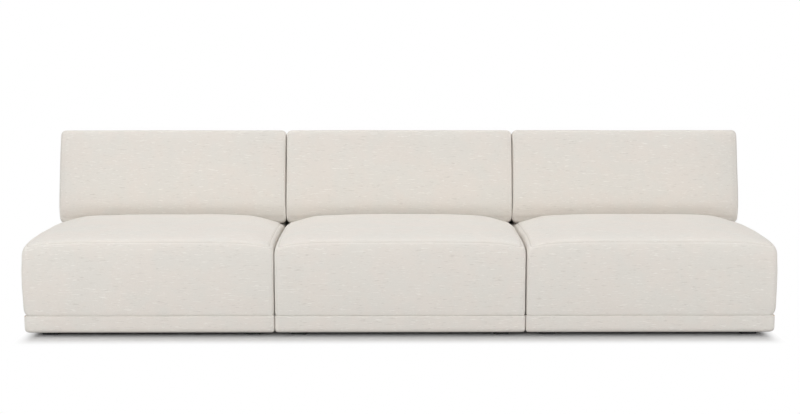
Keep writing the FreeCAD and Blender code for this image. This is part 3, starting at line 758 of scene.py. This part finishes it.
def plinth_band(shape):
    """Open the block above and below, and turn the cloth in over and under the boards."""
    home = shape.verts.layers.float_vector["home"]
    for end, rise in ((1, TOP_RISE), (-1, 0)):
        lid = [f for f in shape.faces if all(v[home].z * end > OUTERMOST for v in f.verts)]
        bmesh.ops.delete(shape, geom=lid, context="FACES")
        hem = [e for e in shape.edges if e.is_boundary and e.verts[0][home].z * end > 0]
        for inset, lift in ((HEM_EDGE, rise), (HEM_WIDTH, 0)):
            turned = bmesh.ops.extrude_edge_only(shape, edges=hem)["geom"]
            inner = [item for item in turned if isinstance(item, bmesh.types.BMVert)]
            hem = [item for item in turned if isinstance(item, bmesh.types.BMEdge)]
            shrink = [(half - inset) / half for half in (PLINTH_HALF, PLINTH_DEPTH)]
            bmesh.ops.scale(shape, vec=(*shrink, 1), verts=inner)
            bmesh.ops.translate(shape, vec=(0, 0, lift), verts=inner)
    bmesh.ops.recalc_face_normals(shape, faces=shape.faces)


for number, module in enumerate(MODULES):
    shape, _ = plinth_block.build(PLINTH_CELLS, module)
    plinth_band(shape)
    bmesh.ops.transform(shape, matrix=module_place(module), verts=shape.verts)
    band = make_object(f"{module}_plinth_band", shape, cloth)
    subdivide(band)
    wall = band.modifiers.new("cloth_thickness", "SOLIDIFY")
    wall.thickness = CLOTH_THICKNESS
    wall.offset = -1
    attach(band, f"{module}_module")
    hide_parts(f"{module}_plinth_cover")
print("band faces:", len(band.data.polygons))

# %% [markdown]
# What the cloth hides is kept from the CAD model: boards, springs, webbing, feet and connectors. Each
# gets its own plain finish, because it shows from below and when a module is lifted.

# %% Finishes of the frame pieces
WOOD_ROUGHNESS = 0.6
GLOSS_WEAR, GLOSS_DROP = 0.25, 0.12


def grained_wood(name, light, dark, rings, across):
    """Wood with its grain along X."""
    shop = MaterialShop(name, light, WOOD_ROUGHNESS)
    grain = shop.speckle(1, 4, 0.6, shop.stretched((2.5, across, across)))
    pores = shop.speckle(1, 2, 0.5, shop.stretched((rings, across * 9, across * 9)))
    shop.put("Base Color", shop.mix(grain.step(0.3, 0.7) * 0.7 + pores * 0.2, light, dark))
    shop.bump(grain * 0.5 + pores * 0.5, 0.0003)
    return shop.material


def woven_tape(name, colour, shade, pitch, roughness):
    """Cloth tape or felt with a fine even grain."""
    shop = MaterialShop(name, colour, roughness)
    threads = shop.speckle(1, 2, 0.5, shop.stretched((pitch, pitch * 0.2, pitch)))
    shop.put("Base Color", shop.mix(threads.step(0.3, 0.7) * 0.6, colour, shade))
    shop.bump(threads, 0.0005)
    return shop.material


def drawn_metal(name, colour, roughness):
    """Steel with a faint unevenness in its gloss."""
    shop = MaterialShop(name, colour, roughness, metallic=1.0)
    wear = shop.speckle(60, 4, 0.6)
    shop.put("Roughness", wear * GLOSS_WEAR + (roughness - GLOSS_DROP))
    return shop.material


def moulded_plastic(name, colour, roughness):
    """Plastic with a fine moulded texture."""
    shop = MaterialShop(name, colour, roughness)
    shop.bump(shop.speckle(900, 2, 0.5), 0.0002)
    return shop.material


finishes = {
    "frame_wood": grained_wood("pine_boards", (0.62, 0.43, 0.24), (0.42, 0.25, 0.12), 12, 60),
    "plywood": grained_wood("birch_plywood", (0.60, 0.45, 0.28), (0.46, 0.31, 0.17), 8, 35),
    "webbing": woven_tape("elastic_webbing", (0.09, 0.085, 0.08), (0.03, 0.03, 0.03), 1200, 0.85),
    "dust_cloth": woven_tape("dust_cloth", (0.035, 0.035, 0.037), (0.02, 0.02, 0.02), 700, 0.95),
    "foot_plastic": moulded_plastic("foot_plastic", (0.025, 0.025, 0.026), 0.5),
    "spring_steel": drawn_metal("spring_steel", (0.40, 0.40, 0.42), 0.40),
    "fastener_steel": drawn_metal("zinc_screws", (0.66, 0.66, 0.64), 0.35),
    "connector_steel": drawn_metal("connector_steel", (0.30, 0.30, 0.31), 0.45),
}

# %% [markdown]
# The names of the CAD nodes say what each piece is, so one table gives every piece its finish, whichever
# module it belongs to.

# %% Finishes on the CAD pieces
NODE_FINISH = {
    "plinth_frame": "frame_wood",
    "feet": "foot_plastic",
    "foot_screws": "fastener_steel",
    "dust_cover": "dust_cloth",
    "seat_frame": "frame_wood",
    "seat_springs": "spring_steel",
    "spring_clips": "connector_steel",
    "back_frame": "plywood",
    "back_webbing": "webbing",
    "back_screws": "fastener_steel",
    "connector_tongues": "connector_steel",
    "connector_sockets": "connector_steel",
    "connector_screws": "fastener_steel",
}
dressed = 0
for node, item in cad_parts.items():
    finish = NODE_FINISH.get(node.split("_", 1)[1])
    if finish:
        item.data.materials.clear()
        item.data.materials.append(finishes[finish])
        dressed += 1
print("CAD nodes with a finish:", dressed)

# %% [markdown]
# A plain studio has an even pale sky, a very large floor and soft lamps. The sky lights the sofa at a
# low level, so that a colour comes out about as it is written. A brighter sky would whiten the
# background too, but it would wash out the cloth. So the camera and reflections see a white sky instead,
# chosen by the kind of ray that looks at it.

# %% Sky
WHITE = (1, 1, 1)
SKY_LIGHT = 0.41

world = bpy.data.worlds.new("studio_sky")
bpy.context.scene.world = world
world.use_nodes = True
sky_shop = NodeShop(world.node_tree)
camera_ray, glossy_ray, clear_ray = (
    sky_shop.node("ShaderNodeLightPath", {}, output=f"Is {kind} Ray")
    for kind in ("Camera", "Glossy", "Transmission")
)
seen = camera_ray.larger(glossy_ray).larger(clear_ray)
sky, white = (sky_shop.node("ShaderNodeBackground", {}, WHITE, level) for level in (SKY_LIGHT, 1))
sky_shop.finish("ShaderNodeOutputWorld", sky_shop.node("ShaderNodeMixShader", {}, seen, sky, white))
print("sky nodes:", len(world.node_tree.nodes))

# %% [markdown]
# The floor is one big square. It bounces a modest light from below, as a matt grey. The camera sees it
# paler, and white away from the sofa, where it gives off its own light, so the lamps can stay gentle.
# Near the sofa it is plain paint, so the soft shadow and the dark gap under the plinth stay.

# %% Floor
FLOOR_SIZE = 60
FLOOR_COLOUR = (0.45,) * 3
FLOOR_SEEN = (0.78,) * 3
SHADOW_ENDS = (1.405, 1.475)
SHADOW_REACH = (0.50, 0.63)

floor_paint = bpy.data.materials.new("studio_floor")
floor_paint.use_nodes = True
paint = NodeShop(floor_paint.node_tree)
spot = paint.node("ShaderNodeTexCoord", {}, output="Object")
across, deep = (paint.node("ShaderNodeSeparateXYZ", {}, spot, output=axis).size() for axis in "XY")
away = 1 - (1 - across.step(*SHADOW_ENDS)) * (1 - deep.step(*SHADOW_REACH))
matt, pale = (paint.node("ShaderNodeBsdfDiffuse", {}, shade) for shade in (FLOOR_COLOUR, FLOOR_SEEN))
glow = paint.node("ShaderNodeEmission", {}, WHITE, 1)
to_camera = paint.node("ShaderNodeLightPath", {}, output="Is Camera Ray")
seen_floor = paint.node("ShaderNodeMixShader", {}, away, pale, glow)
paint.finish(
    "ShaderNodeOutputMaterial", paint.node("ShaderNodeMixShader", {}, to_camera, matt, seen_floor)
)

floor_shape = bmesh.new()
bmesh.ops.create_grid(floor_shape, x_segments=1, y_segments=1, size=FLOOR_SIZE)
floor = make_object("studio_floor", floor_shape, floor_paint)
print("floor nodes:", len(floor_paint.node_tree.nodes))

# %% [markdown]
# Four broad lamps do the rest. Large lamps give soft shadows, as on a real product photograph. The one
# above makes the seats paler than the fronts, the low one in front fills the gaps, and the left one is a
# little stronger than the right one, as the photograph shows. Floor and lamps aren't part of the sofa.

# %% Lamps
LAMP_AIM = (0, 0, 0.3)
LAMPS = (
    ("overhead_lamp", (0, 0.9, 3.6), (6.0, 2.0), 64),
    ("front_lamp", (0, -3.1, 1.0), (7.0, 0.8), 55),
    ("left_lamp", (-4.2, -2.6, 2.0), (2.5, 2.5), 55),
    ("right_lamp", (4.2, -2.6, 2.0), (2.5, 2.5), 40),
)

for name, place, size, power in LAMPS:
    lamp_data = bpy.data.lights.new(name, "AREA")
    lamp_data.shape = "RECTANGLE"
    lamp_data.size, lamp_data.size_y = size
    lamp_data.energy = power
    lamp = bpy.data.objects.new(name, lamp_data)
    lamp.location = place
    aim = Vector(LAMP_AIM) - Vector(place)
    lamp.rotation_euler = aim.to_track_quat("-Z", "Y").to_euler()
    bpy.context.scene.collection.objects.link(lamp)
